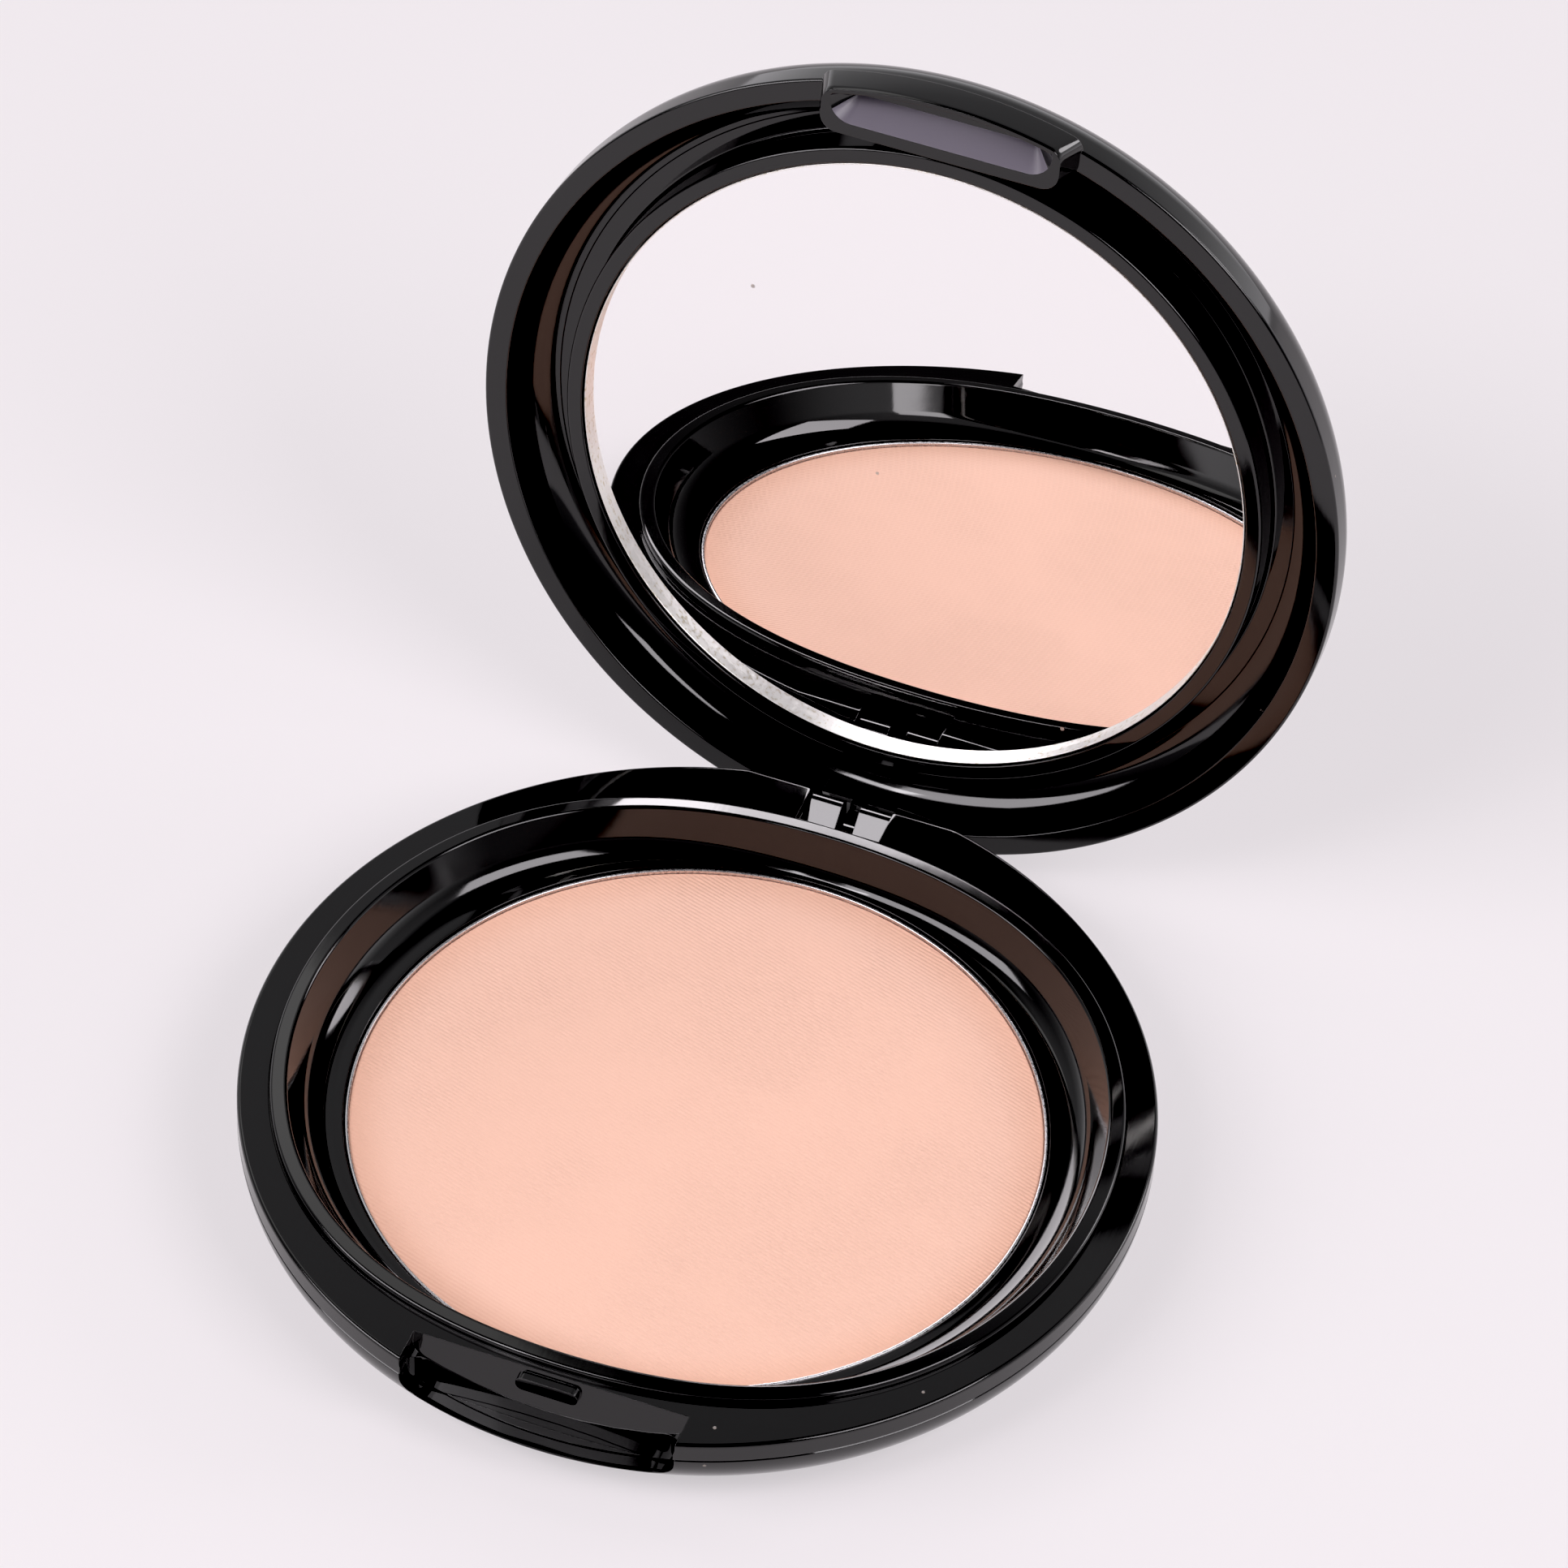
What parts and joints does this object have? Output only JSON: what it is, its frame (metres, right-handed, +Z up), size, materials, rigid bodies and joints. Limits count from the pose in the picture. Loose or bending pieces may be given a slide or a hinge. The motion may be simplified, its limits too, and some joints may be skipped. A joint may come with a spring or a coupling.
{
  "type": "pressed powder compact",
  "caption": "Round pressed powder compact with a thumb notch, an aluminium powder pan and a hinged mirror lid.",
  "frame": {"origin": "centre of the flat underside", "axes": "+Z up out of the base, -Y towards the thumb notch, +Y towards the hinge, X along the hinge pin"},
  "size_m": [0.077, 0.0969, 0.0787],
  "materials": {
    "black_case": "polished black ABS",
    "pan_aluminium": "drawn aluminium sheet",
    "adhesive": "soft pale adhesive pad",
    "powder": "matt pressed mineral powder with a fine woven press texture",
    "mirror": "silvered glass",
    "pin_steel": "bright drawn steel",
    "label": "blank pale label"
  },
  "bodies": {
    "base": {"base_bowl": "black_case", "base_deck": "black_case", "powder_pan": "pan_aluminium", "pan_adhesive": "adhesive", "pressed_powder": "powder", "hinge_pin": "pin_steel", "underside_label": "label"},
    "lid": {"lid_shell": "black_case", "mirror_frame": "black_case", "mirror_adhesive": "adhesive", "mirror_glass": "mirror"}
  },
  "joints": [
    {"name": "lid_hinge", "type": "hinge", "parent": "base", "child": "lid", "pos_m": [0, 0.036, 0.0049], "axis": [1, 0, 0], "range_deg": [0, 99]}
  ]
}
